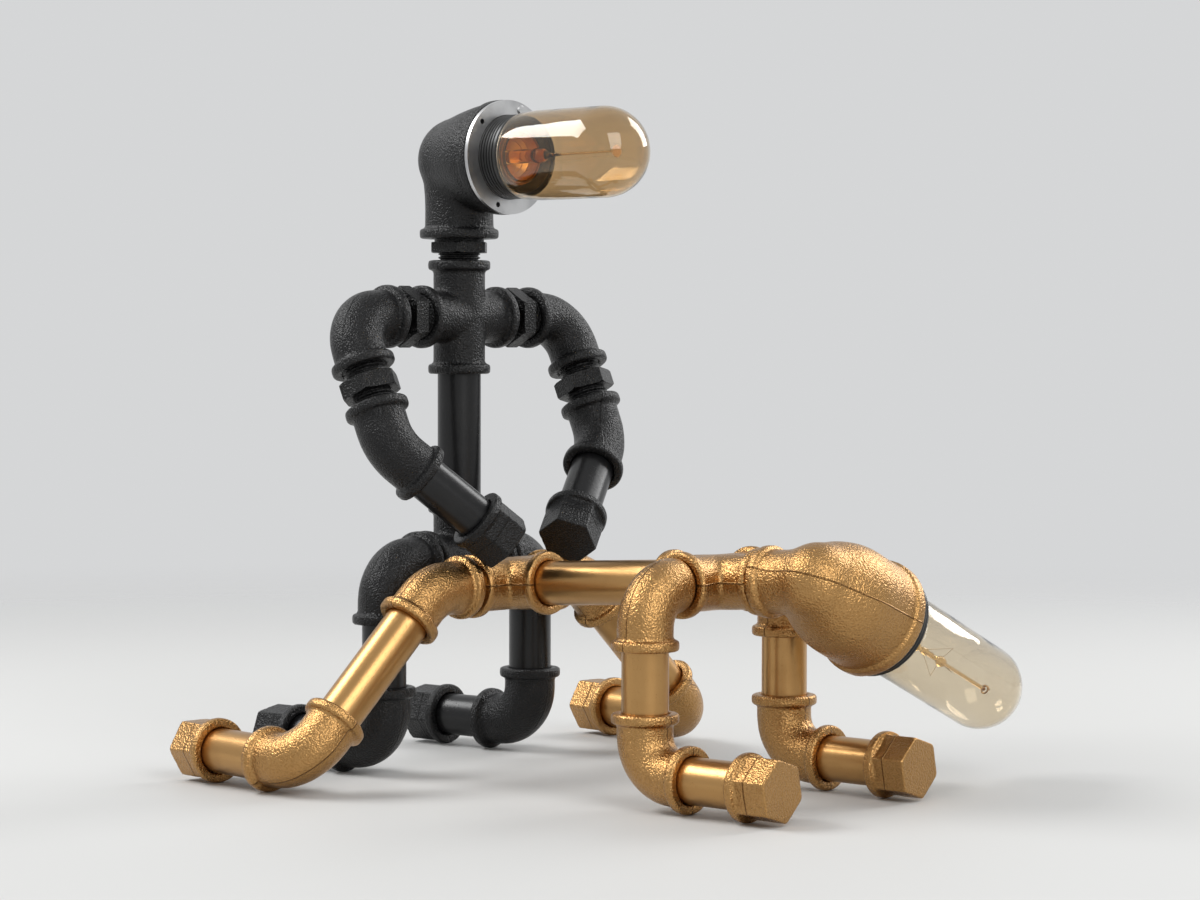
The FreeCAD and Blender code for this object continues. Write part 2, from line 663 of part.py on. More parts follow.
# ---- the origin is under the middle of the pair, on the surface that it stands on ----
whole = Part.makeCompound([solid for solids in nodes.values() for solid in solids]).optimalBoundingBox()
toOrigin = Vector(-(whole.XMin + whole.XMax) / 2, -(whole.YMin + whole.YMax) / 2, -whole.ZMin)
for name, solids in nodes.items():
    shape = Part.makeCompound(solids) if len(solids) > 1 else solids[0]
    shape.translate(toOrigin)
    found = [solid for solid in shape.Solids]
    if len(found) != len(solids) or not shape.isValid():
        print("CHECK", name, len(found), "solids, valid", shape.isValid())
    shape.exportStep("parts/%s.step" % name)
print("origin shift %.3f %.3f %.3f" % (toOrigin.x, toOrigin.y, toOrigin.z))
print("size %.1f %.1f %.1f" % (whole.XLength, whole.YLength, whole.ZLength))
print("nodes", len(nodes), "solids", sum(len(s) for s in nodes.values()))
for label, point, axis in (("neck", blackHead, zAxis), ("black look", blackHead, blackLook),
                           ("gold neck", goldHead, spine), ("gold look", goldHead, goldLook),
                           ("shoulder", blackShoulder, shoulderOut)):
    spot = point + toOrigin
    print(label, "at %.4f %.4f %.4f" % tuple(spot), "axis %.6f %.6f %.6f" % tuple(axis))
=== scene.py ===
import bmesh
import bpy
import json
import math
import numpy as np
from mathutils import Euler, Matrix, Vector
from mathutils.kdtree import KDTree


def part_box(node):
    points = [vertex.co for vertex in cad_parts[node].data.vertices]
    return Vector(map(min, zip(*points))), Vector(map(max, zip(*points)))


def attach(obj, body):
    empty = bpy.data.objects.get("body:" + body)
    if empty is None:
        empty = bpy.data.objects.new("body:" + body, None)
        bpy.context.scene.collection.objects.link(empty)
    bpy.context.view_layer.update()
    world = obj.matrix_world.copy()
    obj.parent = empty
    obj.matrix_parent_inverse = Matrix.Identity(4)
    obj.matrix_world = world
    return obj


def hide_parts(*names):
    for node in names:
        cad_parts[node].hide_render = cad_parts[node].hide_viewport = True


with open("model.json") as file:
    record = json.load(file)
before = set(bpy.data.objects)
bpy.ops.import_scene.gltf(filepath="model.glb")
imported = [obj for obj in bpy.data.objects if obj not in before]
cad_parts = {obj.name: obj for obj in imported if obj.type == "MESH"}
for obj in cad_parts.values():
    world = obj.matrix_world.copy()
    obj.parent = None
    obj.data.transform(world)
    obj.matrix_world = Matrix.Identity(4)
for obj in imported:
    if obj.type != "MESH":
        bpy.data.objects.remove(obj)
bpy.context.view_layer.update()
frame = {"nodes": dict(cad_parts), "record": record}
record = frame["record"]
slotOf = {part["node"]: part["material_slot"] for part in record["subparts"]}
bodyOf = {node: body for body, nodes in record["behaviour"]["bodies"].items() for node in nodes}
print("frame loaded:", len(frame["nodes"]), "nodes")


class Signal:
    # what one output of a node carries; sums on a number add Math nodes
    def __init__(self, owner, socket):
        self.owner = owner
        self.socket = socket

    def combine(self, operation, first, second):
        return self.owner.node("ShaderNodeMath", {"operation": operation}, {0: first, 1: second}, "Value")

    def larger(self, other):
        return self.combine("MAXIMUM", self, other)

    def __abs__(self):
        return self.owner.node("ShaderNodeMath", {"operation": "ABSOLUTE"}, {0: self}, "Value")

    def __add__(self, other):
        return self.combine("ADD", self, other)

    def __radd__(self, other):
        return self.combine("ADD", other, self)

    def __sub__(self, other):
        return self.combine("SUBTRACT", self, other)

    def __rsub__(self, other):
        return self.combine("SUBTRACT", other, self)

    def __mul__(self, other):
        return self.combine("MULTIPLY", self, other)

    def __rmul__(self, other):
        return self.combine("MULTIPLY", other, self)


class Nodes:
    # a node tree and the one way in which nodes are added to it
    def __init__(self, tree):
        self.tree = tree

    def node(self, kind, settings, inputs, output=0):
        made = self.tree.nodes.new(kind)
        for name, value in settings.items():
            setattr(made, name, value)
        for name, value in inputs.items():
            if isinstance(value, Signal):
                self.tree.links.new(value.socket, made.inputs[name])
            else:
                made.inputs[name].default_value = value
        return Signal(self, made.outputs[output])


class Finish(Nodes):
    # one material, with its patterns read from the piece's own coordinates
    def __init__(self, name, constants):
        self.material = bpy.data.materials.new(name)
        self.material.use_nodes = True
        super().__init__(self.material.node_tree)
        self.shader = self.tree.nodes["Principled BSDF"]
        for socket, value in constants.items():
            self.shader.inputs[socket].default_value = value
        self.place = self.node("ShaderNodeTexCoord", {}, {}, "Object")

    def noise(self, scale, detail=3.0, roughness=0.5):
        return self.node("ShaderNodeTexNoise", {}, {"Vector": self.place, "Scale": scale,
                         "Detail": detail, "Roughness": roughness}, "Fac")

    def steps(self, signal, low, high, start=0.0, end=1.0):
        return self.node("ShaderNodeMapRange", {"interpolation_type": "SMOOTHSTEP"},
                         {"Value": signal, "From Min": low, "From Max": high, "To Min": start, "To Max": end},
                         "Result")

    def mixed(self, factor, first, second):
        return self.node("ShaderNodeMix", {"data_type": "RGBA"}, {"Factor": factor, 6: first, 7: second}, 2)

    def bump(self, height, distance, strength=1.0, under=None):
        inputs = {"Height": height, "Distance": distance, "Strength": strength}
        if under:
            inputs["Normal"] = under
        return self.node("ShaderNodeBump", {}, inputs, "Normal")

    def link(self, **signals):
        for name, signal in signals.items():
            self.tree.links.new(signal.socket, self.shader.inputs[name.replace("_", " ")])
        return self.material


def colour(red, green, blue):
    return (red, green, blue, 1.0)


# the camera stands in front of the gold lamp's near side, a little above its back
view = {"offset": (1.0362, -1.1025, 0.2113), "azimuth": 41.54, "down": 2.08, "roll": -0.1,
        "lens": 93.44, "sensor": 36, "clipEnd": 20, "fitRadius": 0.0154}
hipLow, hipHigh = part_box("gold_hip_tee")
hip = Vector((hipLow.x + view["fitRadius"], (hipLow.y + hipHigh.y) / 2, 0))
bpy.ops.object.select_all(action="DESELECT")
bpy.ops.object.camera_add(location=hip + Vector(view["offset"]))
camera = bpy.context.object
camera.name = "tableCamera"
camera.rotation_euler = Euler((math.radians(90 - view["down"]), math.radians(view["roll"]),
                               math.radians(view["azimuth"])), "XYZ")
camera.data.lens = view["lens"]
camera.data.sensor_width = view["sensor"]
camera.data.clip_end = view["clipEnd"]
bpy.context.scene.camera = camera

# a pale floor that fades into the pale room behind it
studio = {"floorColour": colour(0.62, 0.62, 0.61), "floorRoughness": 0.6, "size": 12.0, "fade": (0.45, 1.5),
          "roomColour": colour(0.98, 0.99, 1.0), "roomSeen": 0.68, "roomLight": 0.38,
          "aim": (0, 0, 0.12)}
bpy.ops.mesh.primitive_plane_add(size=studio["size"], location=(0, 0, 0))
floor = bpy.context.object
floor.name = "studioFloor"
floorFinish = Finish("studioFloorFinish", {"Base Color": studio["floorColour"],
                                           "Roughness": studio["floorRoughness"]})
away = floorFinish.node("ShaderNodeVectorMath", {"operation": "LENGTH"}, {0: floorFinish.place}, "Value")
fade = floorFinish.steps(away, studio["fade"][0], studio["fade"][1])
clear = floorFinish.node("ShaderNodeBsdfTransparent", {}, {}, "BSDF")
solid = Signal(floorFinish, floorFinish.shader.outputs["BSDF"])
blended = floorFinish.node("ShaderNodeMixShader", {}, {0: fade, 1: solid, 2: clear}, "Shader")
floorFinish.tree.links.new(blended.socket, floorFinish.tree.nodes["Material Output"].inputs["Surface"])
floor.data.materials.append(floorFinish.material)

world = bpy.data.worlds.new("studioRoom")
bpy.context.scene.world = world
world.use_nodes = True
# the room looks brighter, straight on, in a reflection and through glass, than the light that it gives
room = Nodes(world.node_tree)
background = room.tree.nodes["Background"]
background.inputs["Color"].default_value = studio["roomColour"]
background.inputs["Strength"].default_value = studio["roomLight"]
lit = Signal(room, background.outputs[0])
seen = room.node("ShaderNodeBackground", {}, {"Color": studio["roomColour"], "Strength": studio["roomSeen"]})
straight, mirrored, through = [room.node("ShaderNodeLightPath", {}, {}, ray)
                               for ray in ("Is Camera Ray", "Is Glossy Ray", "Is Transmission Ray")]
walls = room.node("ShaderNodeMixShader", {}, {0: straight.larger(mirrored).larger(through), 1: lit, 2: seen})
room.tree.links.new(walls.socket, room.tree.nodes["World Output"].inputs["Surface"])

lamps = {
    "keySoftbox": {"place": (-0.9, -0.6, 1.2), "power": 17, "size": (1.0, 0.6)},
    "fillSoftbox": {"place": (1.3, -0.5, 0.9), "power": 11, "size": (0.8, 1.1)},
    "rimSoftbox": {"place": (0.3, 1.4, 1.0), "power": 15, "size": (0.7, 1.1)},
}
for name, lamp in lamps.items():
    bpy.ops.object.light_add(type="AREA", location=lamp["place"])
    light = bpy.context.object
    light.name = name
    light.data.shape = "RECTANGLE"
    light.data.size, light.data.size_y = lamp["size"]
    light.data.energy = lamp["power"]
    aim = Vector(studio["aim"]) - light.location
    light.rotation_euler = aim.to_track_quat("-Z", "Y").to_euler()
bpy.context.scene.view_settings.view_transform = "Standard"
print("camera, floor and light are set")

# sand castings under paint: a pebbled skin with painted shade in its hollows, soft dents and a thin parting line
# whose dark colour is a painted shadow of its ridge
castings = {
    "black": {"name": "blackCasting", "crest": colour(0.009, 0.009, 0.0095), "hollow": colour(0.005, 0.005, 0.005),
              "line": colour(0.002, 0.002, 0.002), "metallic": 0.0, "specular": 0.26, "rough": (0.27, 0.38),
              "pebbles": 1150, "pebbleDepth": 0.00085, "dents": 190, "dentDepth": 0.0002},
    "gold": {"name": "goldCasting", "crest": colour(0.46, 0.262, 0.100), "hollow": colour(0.37, 0.200, 0.070),
             "line": colour(0.12, 0.053, 0.016), "metallic": 1.0, "specular": 0.5, "rough": (0.26, 0.36),
             "pebbles": 1100, "pebbleDepth": 0.00060, "dents": 200, "dentDepth": 0.0002},
}
# hollows and hollowShade: the range of the pebble noise that takes painted shade, and how strongly
castSkin = {"dentDetail": 2.0, "dentStrength": 0.5, "pebbleDetail": 1.5, "pebbleRoughness": 0.45,
            "pebbleStrength": 0.9, "hollows": (0.36, 0.54), "hollowShade": 0.7, "cloud": 42, "cloudShade": 0.3,
            "wander": 90, "wanderDetail": 2.0, "ridge": (0.16, 0.52), "ridgeDepth": 0.00035, "lineShade": 0.75}


def castFinish(values):
    finish = Finish(values["name"], {"Metallic": values["metallic"], "Specular IOR Level": values["specular"]})
    dents = finish.noise(values["dents"], castSkin["dentDetail"])
    pebbles = finish.noise(values["pebbles"], castSkin["pebbleDetail"], castSkin["pebbleRoughness"])
    cloud = finish.noise(castSkin["cloud"])
    # painted shade: where the pebble noise is low, in the hollows, the colour goes towards the darker hollow colour;
    # a random cloudy tone is added, and the same mask also sets the roughness
    shade = finish.steps(pebbles, *castSkin["hollows"], castSkin["hollowShade"], 0.0) + cloud * castSkin["cloudShade"]
    low, high = values["rough"]
    away = finish.node("ShaderNodeAttribute", {"attribute_name": "parting"}, {}, "Fac")
    # the line wanders a little: the noise is 0.5 in the middle
    away = abs(away + finish.noise(castSkin["wander"], castSkin["wanderDetail"]) - 0.5)
    ridge = finish.steps(away, *castSkin["ridge"], 1.0, 0.0)
    surface = finish.bump(dents, values["dentDepth"], castSkin["dentStrength"])
    surface = finish.bump(pebbles, values["pebbleDepth"], castSkin["pebbleStrength"], surface)
    surface = finish.bump(ridge, castSkin["ridgeDepth"], 1.0, surface)
    skin = finish.mixed(shade, values["crest"], values["hollow"])
    # painted shadow: along the parting ridge the colour is mixed towards the dark line colour, standing for the shade
    # beside the raised ridge
    return finish.link(Base_Color=finish.mixed(ridge * castSkin["lineShade"], skin, values["line"]),
                       Roughness=low + shade * (high - low), Normal=surface)


# smooth pipe under the same paint, with a little orange peel
pipes = {
    "black": {"name": "blackPipe", "paint": colour(0.006, 0.006, 0.0065), "worn": colour(0.011, 0.011, 0.011),
              "metallic": 0.0, "specular": 0.34, "rough": (0.24, 0.33)},
    "gold": {"name": "goldPipe", "paint": colour(0.47, 0.270, 0.104), "worn": colour(0.39, 0.215, 0.078),
             "metallic": 1.0, "specular": 0.5, "rough": (0.25, 0.34)},
}
pipeSkin = {"cloud": 60, "cloudShade": 0.7, "peel": 620, "peelDetail": 2.0, "specks": 1500, "speckDetail": 1.0,
            "speckEdge": (0.66, 0.74), "speckShade": 0.3, "depth": 0.00006, "strength": 0.6, "wear": (0.30, 0.65)}


def pipeFinish(values):
    finish = Finish(values["name"], {"Metallic": values["metallic"], "Specular IOR Level": values["specular"]})
    cloud = finish.noise(pipeSkin["cloud"])
    peel = finish.noise(pipeSkin["peel"], pipeSkin["peelDetail"])
    specks = finish.steps(finish.noise(pipeSkin["specks"], pipeSkin["speckDetail"]), *pipeSkin["speckEdge"])
    low, high = values["rough"]
    surface = finish.bump(peel, pipeSkin["depth"], pipeSkin["strength"])
    surface = finish.bump(specks, pipeSkin["depth"], pipeSkin["strength"], surface)
    tone = finish.steps(cloud * pipeSkin["cloudShade"] + specks * pipeSkin["speckShade"], *pipeSkin["wear"])
    return finish.link(Base_Color=finish.mixed(tone, values["paint"], values["worn"]),
                       Roughness=low + cloud * (high - low), Normal=surface)


# the steel ring, the black mouldings of the lampholders and the brass of the screw shells
plain = {
    "steel_ring": {"name": "ringSteel", "base": colour(0.60, 0.60, 0.60), "shade": colour(0.46, 0.46, 0.465),
                   "metallic": 1.0, "rough": 0.34, "marks": 420, "depth": 0.00004},
    "holder_plastic": {"name": "holderPlastic", "base": colour(0.010, 0.010, 0.010),
                       "shade": colour(0.022, 0.021, 0.020), "metallic": 0.0, "rough": 0.34, "marks": 900,
                       "depth": 0.00006},
    "screw_shell": {"name": "shellBrass", "base": colour(0.86, 0.50, 0.17), "shade": colour(0.66, 0.33, 0.09),
                    "metallic": 1.0, "rough": 0.32, "marks": 300, "depth": 0.00005},
    "wire": {"name": "filamentWire", "base": colour(0.66, 0.44, 0.20), "shade": colour(0.42, 0.26, 0.11),
             "metallic": 1.0, "rough": 0.30, "marks": 900, "depth": 0.00002},
    "button": {"name": "supportDisc", "base": colour(1.0, 0.76, 0.54), "shade": colour(0.95, 0.66, 0.42),
               "metallic": 0.0, "rough": 0.35, "marks": 700, "depth": 0.00004},
    "cup": {"name": "neckCup", "base": colour(0.96, 0.54, 0.15), "shade": colour(0.84, 0.38, 0.07),
            "metallic": 0.55, "rough": 0.30, "marks": 260, "depth": 0.00010},
}
plainSkin = {"cloud": 70, "shades": (0.35, 0.65), "roughSpread": 0.14, "strength": 0.5}


def plainFinish(values):
    finish = Finish(values["name"], {"Metallic": values["metallic"]})
    marks = finish.noise(values["marks"])
    cloud = finish.steps(finish.noise(plainSkin["cloud"]), *plainSkin["shades"])
    spread = plainSkin["roughSpread"]
    return finish.link(Base_Color=finish.mixed(cloud, values["base"], values["shade"]),
                       Roughness=marks * spread + (values["rough"] - spread / 2),
                       Normal=finish.bump(marks, values["depth"], plainSkin["strength"]))


# blown glass: smoky amber on the black lamp, paler on the gold one, faintly wavy
glasses = {
    "black_bulb_glass": {"name": "amberGlass", "tint": colour(0.74, 0.59, 0.40), "waves": 60, "depth": 0.0005},
    "gold_bulb_glass": {"name": "smokyGlass", "tint": colour(0.85, 0.78, 0.66), "waves": 60, "depth": 0.0005},
    "black_bulb_stem": {"name": "amberStem", "tint": colour(0.93, 0.72, 0.40), "waves": 500, "depth": 0.0003},
    "gold_bulb_stem": {"name": "goldenStem", "tint": colour(0.86, 0.62, 0.30), "waves": 400, "depth": 0.0002},
}
glassSkin = {"refraction": 1.47, "waveDetail": 1.0, "strength": 0.35}


def glassFinish(values):
    finish = Finish(values["name"], {"Base Color": values["tint"], "Roughness": 0.0,
                                     "IOR": glassSkin["refraction"], "Transmission Weight": 1.0})
    waves = finish.noise(values["waves"], glassSkin["waveDetail"])
    return finish.link(Normal=finish.bump(waves, values["depth"], glassSkin["strength"]))


finishes = {}
for lampName in ("black", "gold"):
    finishes[lampName + "_cast"] = castFinish(castings[lampName])
    finishes[lampName + "_pipe"] = pipeFinish(pipes[lampName])
for slotName, values in plain.items():
    finishes[slotName] = plainFinish(values)
for slotName, values in glasses.items():
    finishes[slotName] = glassFinish(values)
for node, shape in frame["nodes"].items():
    shape.data.materials.clear()
    shape.data.materials.append(finishes[slotOf[node]])
print("finishes are on:", len(finishes))


def selectOnly(piece):
    bpy.ops.object.select_all(action="DESELECT")
    piece.select_set(True)
    bpy.context.view_layer.objects.active = piece


def applyModifier(piece, kind, **settings):
    selectOnly(piece)
    modifier = piece.modifiers.new(kind.lower(), kind)
    for name, value in settings.items():
        setattr(modifier, name, value)
    bpy.ops.object.modifier_apply(modifier=modifier.name)


def copyOf(node, name):
    # a piece that starts as a node's own shape, its loose triangles joined
    original = frame["nodes"][node]
    piece = original.copy()
    piece.data = original.data.copy()
    piece.name = name
    for key in list(piece.keys()):
        del piece[key]
    piece.parent = None
    bpy.context.scene.collection.objects.link(piece)
    selectOnly(piece)
    bpy.ops.object.mode_set(mode="EDIT")
    bpy.ops.mesh.select_all(action="SELECT")
    bpy.ops.mesh.customdata_custom_splitnormals_clear()
    bpy.ops.mesh.remove_doubles(threshold=0.000002)
    bpy.ops.object.mode_set(mode="OBJECT")
    return piece


def rideWith(piece, node, finishName):
    # the piece moves with the node's body and takes a finish
    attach(piece, bodyOf[node])
    piece.data.materials.clear()
    piece.data.materials.append(finishes[finishName])


def standFor(piece, node):
    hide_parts(node)
    rideWith(piece, node, slotOf[node])


def creases(piece, sharpness):
    # the middles of the inward corners where one barrel of a fitting runs into another
    mesh = bmesh.new()
    mesh.from_mesh(piece.data)
    found = []
    for edge in mesh.edges:
        if len(edge.link_faces) == 2 and edge.calc_face_angle_signed(0) < -sharpness:
            found.append((edge.verts[0].co + edge.verts[1].co) / 2)
    mesh.free()
    return found


casting = {"voxel": 0.0007, "capVoxel": 0.0005, "seamReach": 0.0042, "sharpness": 0.45, "seamRounds": 26,
           "capRounds": 3, "headRounds": 110, "headBead": 0.0085, "headFade": 0.005, "lumpSize": 0.0045,
           "lumpHeight": 0.00012, "lumpMiddle": 1.0, "settle": 3, "softness": 0.5}
spinOf = {joint["name"]: joint for joint in record["behaviour"]["joints"]}
lumpTexture = bpy.data.textures.new("castLumps", "CLOUDS")
lumpTexture.noise_scale = casting["lumpSize"]
lumpTexture.noise_depth = 1


def nearCorners(piece, corners):
    # points near an inward corner are smoothed, the nearest ones fully
    tree = KDTree(len(corners))
    for index, place in enumerate(corners):
        tree.insert(place, index)
    tree.balance()
    weights = []
    for vertex in piece.data.vertices:
        distance = tree.find(vertex.co)[2]
        weights.append(min(1.0, 2 - 2 * distance / casting["seamReach"]))
    return weights


def betweenBeads(piece, lampName):
    # a head is smoothed between the beads round its two mouths, and the beads stay crisp
    look, neck = spinOf[lampName + "_bulb_turn"], spinOf[lampName + "_head_turn"]
    middle, outlet, inlet = Vector(look["pos_m"]), Vector(look["axis"]), -Vector(neck["axis"])
    along = [((vertex.co - middle).dot(outlet), (vertex.co - middle).dot(inlet)) for vertex in piece.data.vertices]
    reach = max(pair[0] for pair in along) - casting["headBead"]
    drop = max(pair[1] for pair in along) - casting["headBead"]
    fade = casting["headFade"]
    return [min(1.0, max(0.0, (reach - out) / fade)) * min(1.0, max(0.0, (drop - down) / fade))
            for out, down in along]


def markParting(piece):
    # every point keeps its distance in millimetres from the plane in which the mould parted
    places = np.zeros(len(piece.data.vertices) * 3)
    piece.data.vertices.foreach_get("co", places)
    places = places.reshape(-1, 3)
    middle = places.mean(0)
    across = np.linalg.eigh(np.cov((places - middle).T))[1][:, 0]
    parting = piece.data.attributes.new("parting", "FLOAT", "POINT")
    parting.data.foreach_set("value", ((places - middle) @ across * 1000).astype(np.float32))


def castPiece(node, rounds, voxel):
    # a casting: its seams filled, its surface slightly lumpy and a parting line all round it
    piece = copyOf(node, node + "_casting")
    corners = creases(piece, casting["sharpness"])
    applyModifier(piece, "REMESH", mode="VOXEL", voxel_size=voxel)
    if "head_elbow" in node:
        weights = betweenBeads(piece, node.split("_")[0])
    else:
        weights = nearCorners(piece, corners)
    group = piece.vertex_groups.new(name="seam")
    for index, weight in enumerate(weights):
        if weight > 0:
            group.add([index], weight, "REPLACE")
    applyModifier(piece, "SMOOTH", factor=casting["softness"], iterations=rounds, vertex_group="seam")
    piece.vertex_groups.clear()
    applyModifier(piece, "SMOOTH", factor=casting["softness"], iterations=casting["settle"])
    applyModifier(piece, "DISPLACE", texture=lumpTexture, texture_coords="LOCAL",
                  strength=casting["lumpHeight"], mid_level=casting["lumpMiddle"])
    markParting(piece)
    selectOnly(piece)
    bpy.ops.object.shade_smooth()
    standFor(piece, node)


for node, slot in slotOf.items():
    if not slot.endswith("_cast") or "nipple" in node:
        continue
    if "head_elbow" in node:
        castPiece(node, casting["headRounds"], casting["voxel"])
    elif "cap" in node:
        castPiece(node, casting["capRounds"], casting["capVoxel"])
    else:
        castPiece(node, casting["seamRounds"], casting["voxel"])
print("castings are made")

for node, slot in slotOf.items():
    if node == "gold_lampholder_collar":
        continue  # its ribs are turned separately, below
    if slot.endswith("_pipe") or "nipple" in node or slot in ("steel_ring", "holder_plastic", "screw_shell"):
        piece = copyOf(node, node + "_turned")
        selectOnly(piece)
        bpy.ops.object.shade_smooth_by_angle(angle=math.radians(35))
        standFor(piece, node)
print("pipes and turned pieces are made")


def drawnOut(name, rings, segments, closed=False):
    # a turned shell about Z: a circle is drawn out from ring to ring, each (radius, height).
    # A closed one comes back to its first ring, an open one ends in a point.
    bpy.ops.object.select_all(action="DESELECT")
    bpy.ops.mesh.primitive_circle_add(vertices=segments, radius=rings[0][0], location=(0, 0, rings[0][1]))
    piece = bpy.context.object
    piece.name = name
    bpy.ops.object.transform_apply(location=True, rotation=True, scale=True)
    bpy.ops.object.mode_set(mode="EDIT")
    bpy.ops.mesh.select_all(action="SELECT")
    for (radius, height), (nextRadius, nextHeight) in zip(rings, rings[1:]):
        bpy.ops.mesh.extrude_region_move(TRANSFORM_OT_translate={"value": (0, 0, nextHeight - height)})
        ratio = nextRadius / radius
        bpy.ops.transform.resize(value=(ratio, ratio, 1), center_override=(0, 0, nextHeight))
    if not closed:
        bpy.ops.mesh.merge(type="CENTER")
    bpy.ops.mesh.select_all(action="SELECT")
    bpy.ops.mesh.remove_doubles(threshold=0.000005)
    bpy.ops.mesh.normals_make_consistent(inside=False)
    bpy.ops.object.mode_set(mode="OBJECT")
    return piece


def closeFoot(piece):
    # the open ring that a drawn-out shell starts from gets its face
    selectOnly(piece)
    bpy.ops.object.mode_set(mode="EDIT")
    bpy.ops.mesh.select_mode(type="EDGE")
    bpy.ops.mesh.select_all(action="DESELECT")
    bpy.ops.mesh.select_non_manifold(extend=False)
    bpy.ops.mesh.edge_face_add()
    bpy.ops.mesh.select_all(action="SELECT")
    bpy.ops.mesh.normals_make_consistent(inside=False)
    bpy.ops.mesh.select_mode(type="VERT")
    bpy.ops.object.mode_set(mode="OBJECT")


def wirePiece(name, runs, radius):
    # fine wires along straight runs, made a mesh
    curve = bpy.data.curves.new(name, "CURVE")
    curve.dimensions = "3D"
    curve.bevel_depth = radius
    curve.bevel_resolution = 1
    curve.use_fill_caps = True
    for points in runs:
        spline = curve.splines.new("POLY")
        spline.points.add(len(points) - 1)
        for point, place in zip(spline.points, points):
            point.co = (place[0], place[1], place[2], 1)
    piece = bpy.data.objects.new(name, curve)
    bpy.context.scene.collection.objects.link(piece)
    selectOnly(piece)
    bpy.ops.object.convert(target="MESH")
    piece = bpy.context.object
    bpy.ops.object.shade_smooth()
    return piece


# The envelope leaves its neck neckLead past the screw cap. It comes to within the tuck of full width over
# the shoulder, and to full width over the swell. A known fault: the black shoulder runs up to 2.2 mm into
# the front of its collar.
envelope = {"wall": 0.0008, "neck": 0.0126, "neckLead": 0.0015, "tuck": 0.0006, "shoulderSteps": 8,
            "domeSteps": 12, "tipShare": 0.02, "segments": 96}
# radii and lengths in metres; stems, disc, hook and wires are placed along the bulb's axis, from the
# middle of the head
bulbs = {
    "black": {"shoulder": 0.0036, "swell": 0.0102,
              "stem": ((0.0034, 0.0340), (0.0034, 0.0480), (0.0029, 0.0525), (0.0037, 0.0558), (0.0039, 0.0580),
                       (0.0033, 0.0602), (0.0018, 0.0625), (0.0011, 0.0660), (0.0006, 0.0720), (0.0005, 0.1083)),
              "disc": {"height": 0.1090, "radius": 0.0030,
                       "profile": ((0.3, -0.0006), (0.85, -0.0004), (1.0, 0.0), (0.92, 0.0004), (0.6, 0.0005))}},
    "gold": {"shoulder": 0.0022, "swell": 0.0045,
             "stem": ((0.0034, 0.0480), (0.0034, 0.0640), (0.0027, 0.0760), (0.0015, 0.0845), (0.0013, 0.0870),
                      (0.0017, 0.0884), (0.0017, 0.0896), (0.0012, 0.0910), (0.0011, 0.0985), (0.0021, 0.1000),
                      (0.0026, 0.1020), (0.0021, 0.1040), (0.0009, 0.1056), (0.0009, 0.1398)),
             "hook": {"height": 0.1400, "radius": 0.0019, "wire": 0.00042, "lead": ((0.0, -0.0006), (0.6, -0.0002)),
                      "pointsPerTurn": 24, "points": 36, "rise": 0.0012},
             "wires": {"count": 4, "radius": 0.00011, "offset": 0.35,
                       "run": ((0.0013, 0.0890), (0.0085, 0.1030), (0.0022, 0.1015))}},
}
stemFinish = {"tipShare": 0.3, "tipRise": 0.0002, "segments": 48}
# an orange cup with ridges sits in each neck: (radius, length past the end of the screw cap)
cupProfile = ((0.0115, 0.0004), (0.0110, -0.0022), (0.0098, -0.0038), (0.0100, -0.0048), (0.0080, -0.0062),
              (0.0081, -0.0070), (0.0060, -0.0082), (0.0037, -0.0092), (0.0037, -0.0100), (0.0064, -0.0094),
              (0.0090, -0.0075), (0.0108, -0.0050), (0.0116, -0.0022), (0.0116, 0.0004), (0.0115, 0.0004))
# the gold lamp's collar has rounded ribs that step inwards
ribs = {"count": 3, "groove": 0.0018, "taper": 0.0016, "seat": 0.0203, "throat": 0.0174, "lead": 0.00055,
        "lipWidth": 0.002, "lipDepth": 0.0006, "segments": 128}
ribShape = ((1.0, 0.00), (0.25, 0.16), (0.0, 0.36), (0.0, 0.56), (0.25, 0.76), (1.0, 0.90))


def placeOfBulb(lampName):
    spin = spinOf[lampName + "_bulb_turn"]
    turn = Vector(spin["axis"]).to_track_quat("Z", "Y").to_matrix().to_4x4()
    return Matrix.Translation(Vector(spin["pos_m"])) @ turn


def spanOf(node, place):
    # a node's lowest and highest point along its bulb's axis, and its radius
    back = place.inverted()
    points = [back @ vertex.co for vertex in frame["nodes"][node].data.vertices]
    return (min(point.z for point in points), max(point.z for point in points),
            max(math.hypot(point.x, point.y) for point in points))


def settled(piece, place, angle):
    selectOnly(piece)
    bpy.ops.object.shade_smooth_by_angle(angle=math.radians(angle))
    piece.data.transform(place)


collarPlace = placeOfBulb("gold")
back, front, lip = spanOf("gold_lampholder_collar", collarPlace)
rings = [(ribs["throat"], back), (ribs["seat"], back), (ribs["seat"], back + ribs["lead"])]
step = (front - back - ribs["lead"]) / ribs["count"]
for rib in range(ribs["count"]):
    edge = lip - ribs["taper"] * rib / ribs["count"]
    for depth, share in ribShape:
        rings.append((edge - ribs["groove"] * depth, back + ribs["lead"] + (rib + share) * step))
rings += [(ribs["throat"] + ribs["lipWidth"], front), (ribs["throat"], front - ribs["lipDepth"]),
          (ribs["throat"], back)]
collar = drawnOut("gold_lampholder_collar_ribs", rings, ribs["segments"], closed=True)
settled(collar, collarPlace, angle=40)
standFor(collar, "gold_lampholder_collar")

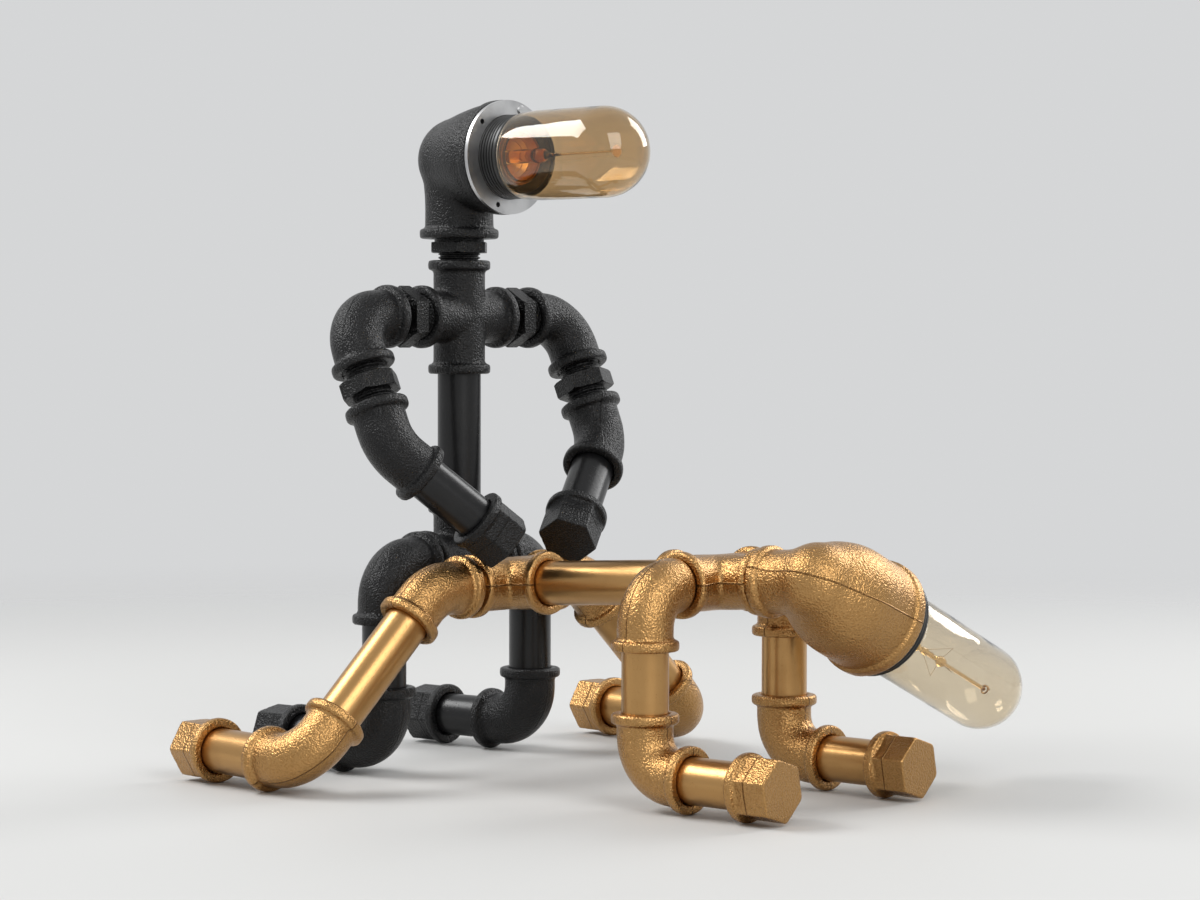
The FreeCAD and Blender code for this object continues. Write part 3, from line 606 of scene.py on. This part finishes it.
for lampName, values in bulbs.items():
    place = placeOfBulb(lampName)
    mount = lampName + "_bulb_mount"
    foot, tip, wide = spanOf(lampName + "_bulb_glass", place)
    capEnd = spanOf(lampName + "_bulb_base", place)[1]
    neck, dome = envelope["neck"], tip - wide
    bend = capEnd + envelope["neckLead"]
    rings = [(neck, foot), (neck, bend)]
    for step in range(1, envelope["shoulderSteps"] + 1):
        lift = math.radians(90 * step / envelope["shoulderSteps"])
        rings.append((neck + (wide - envelope["tuck"] - neck) * math.sin(lift),
                      bend + values["shoulder"] * (1 - math.cos(lift))))
    rings.append((wide, bend + values["shoulder"] + values["swell"]))
    for step in range(envelope["domeSteps"]):
        lift = math.radians(90 * step / envelope["domeSteps"])
        rings.append((wide * math.cos(lift), dome + wide * math.sin(lift)))
    rings.append((wide * envelope["tipShare"], tip))
    glass = drawnOut(lampName + "_bulb_envelope", rings, envelope["segments"])
    applyModifier(glass, "SOLIDIFY", thickness=envelope["wall"], offset=-1.0, use_rim=True)
    settled(glass, place, angle=60)
    standFor(glass, lampName + "_bulb_glass")

    cupRings = [(radius, capEnd + past) for radius, past in cupProfile]
    cup = drawnOut(lampName + "_bulb_cup", cupRings, segments=64, closed=True)
    settled(cup, place, angle=30)
    rideWith(cup, lampName + "_bulb_base", "cup")

    # the glass tube on the axis, with its beads
    stemRings = list(values["stem"])
    lastRadius, lastHeight = stemRings[-1]
    stemRings.append((lastRadius * stemFinish["tipShare"], lastHeight + stemFinish["tipRise"]))
    stem = drawnOut(lampName + "_bulb_stem", stemRings, stemFinish["segments"])
    closeFoot(stem)
    settled(stem, place, angle=60)
    standFor(stem, mount)

    if "disc" in values:
        high, radius = values["disc"]["height"], values["disc"]["radius"]
        discRings = [(radius * share, high + past) for share, past in values["disc"]["profile"]]
        disc = drawnOut(lampName + "_bulb_disc", discRings, segments=40)
        closeFoot(disc)
        settled(disc, place, angle=40)
        rideWith(disc, mount, "button")

    if "hook" in values:
        curl = values["hook"]
        high, radius = curl["height"], curl["radius"]
        points = [(radius * share, 0, high + past) for share, past in curl["lead"]]
        for point in range(curl["points"] + 1):
            angle = point / curl["pointsPerTurn"] * 2 * math.pi
            points.append((radius * math.cos(angle), radius * math.sin(angle),
                           high + curl["rise"] * point / curl["points"]))
        hook = wirePiece(lampName + "_bulb_hook", [points], curl["wire"])
        hook.data.transform(place)
        rideWith(hook, mount, "wire")

    if "wires" in values:
        wires = values["wires"]
        runs = []
        for wire in range(wires["count"]):
            angle = 2 * math.pi * (wire + wires["offset"]) / wires["count"]
            runs.append([(math.cos(angle) * reach, math.sin(angle) * reach, height)
                         for reach, height in wires["run"]])
        fine = wirePiece(lampName + "_bulb_wires", runs, wires["radius"])
        fine.data.transform(place)
        rideWith(fine, mount, "wire")
print("collar and bulbs are made")
